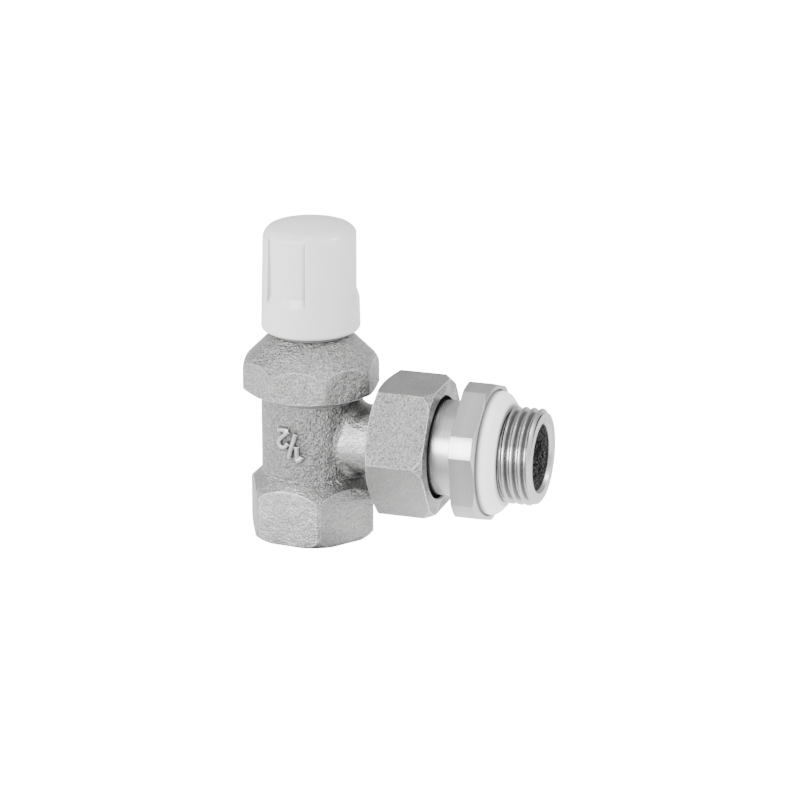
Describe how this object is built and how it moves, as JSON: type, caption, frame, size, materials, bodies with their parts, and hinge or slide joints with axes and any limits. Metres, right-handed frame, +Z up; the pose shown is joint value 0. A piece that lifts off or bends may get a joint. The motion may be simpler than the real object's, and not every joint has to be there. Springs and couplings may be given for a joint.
{
  "type": "angle radiator valve",
  "caption": "Angled shut-off valve for a radiator: hexagonal threaded foot, octagonal top with a white screw cap over the spindle, and a union nut with a sealed threaded tail.",
  "frame": {"origin": "on the inlet's axis, at the centre of the foot's flat end, where the pipe screws in", "axes": "+Z up the inlet and spindle axis, towards the cap; +X along the outlet, towards the radiator"},
  "size_m": [0.0668, 0.0318, 0.07],
  "materials": {
    "plated_body": "blasted and nickel plated",
    "plated_nut": "blasted and nickel plated, turned faces satin",
    "plated_tail": "turned and chrome plated",
    "brass": "turned",
    "white_plastic": "satin",
    "ivory_plastic": "matt",
    "rubber": "matt",
    "fibre": "matt",
    "spring_steel": "bright"
  },
  "bodies": {
    "body": {"valve_body": "plated_body", "bonnet": "plated_body", "bonnet_gasket": "fibre", "spindle_snap_ring": "spring_steel"},
    "cap_gasket_lift": {"cap_gasket": "rubber"},
    "cap": {"cap": "white_plastic"},
    "spindle_slide": {"stem_o_ring_lower": "rubber", "stem_o_ring_upper": "rubber"},
    "spindle": {"shutoff_spindle": "brass", "seat_o_ring": "rubber"},
    "keeper": {"nut_retaining_ring": "spring_steel"},
    "nut": {"union_nut": "plated_nut"},
    "tail": {"tail_piece": "plated_tail", "tail_seal": "ivory_plastic"}
  },
  "joints": [
    {"name": "cap_lift", "type": "slide", "parent": "body", "child": "cap_gasket_lift", "axis": [0, 0, 1], "range_m": [0, 0.0075]},
    {"name": "cap_turn", "type": "hinge", "parent": "cap_gasket_lift", "child": "cap", "pos_m": [0, 0, 0], "axis": [0, 0, 1], "range_deg": [0, 1800]},
    {"name": "spindle_travel", "type": "slide", "parent": "body", "child": "spindle_slide", "axis": [0, 0, 1], "range_m": [-0.005, 0]},
    {"name": "spindle_turn", "type": "hinge", "parent": "spindle_slide", "child": "spindle", "pos_m": [0, 0, 0], "axis": [0, 0, 1], "range_deg": [-1800, 0]},
    {"name": "union_withdraw", "type": "slide", "parent": "body", "child": "keeper", "axis": [1, 0, 0], "range_m": [0, 0.0075]},
    {"name": "union_turn", "type": "hinge", "parent": "keeper", "child": "nut", "pos_m": [0, 0, 0.0219], "axis": [1, 0, 0], "range_deg": [0, 1800]},
    {"name": "tail_swivel", "type": "hinge", "parent": "keeper", "child": "tail", "pos_m": [0, 0, 0.0219], "axis": [1, 0, 0], "continuous": true}
  ],
  "couplings": [
    {"joint": "cap_turn", "follows": "cap_lift", "rad_per_m": 4188.8},
    {"joint": "spindle_turn", "follows": "spindle_travel", "rad_per_m": 6283.2},
    {"joint": "union_turn", "follows": "union_withdraw", "rad_per_m": 4188.8}
  ]
}
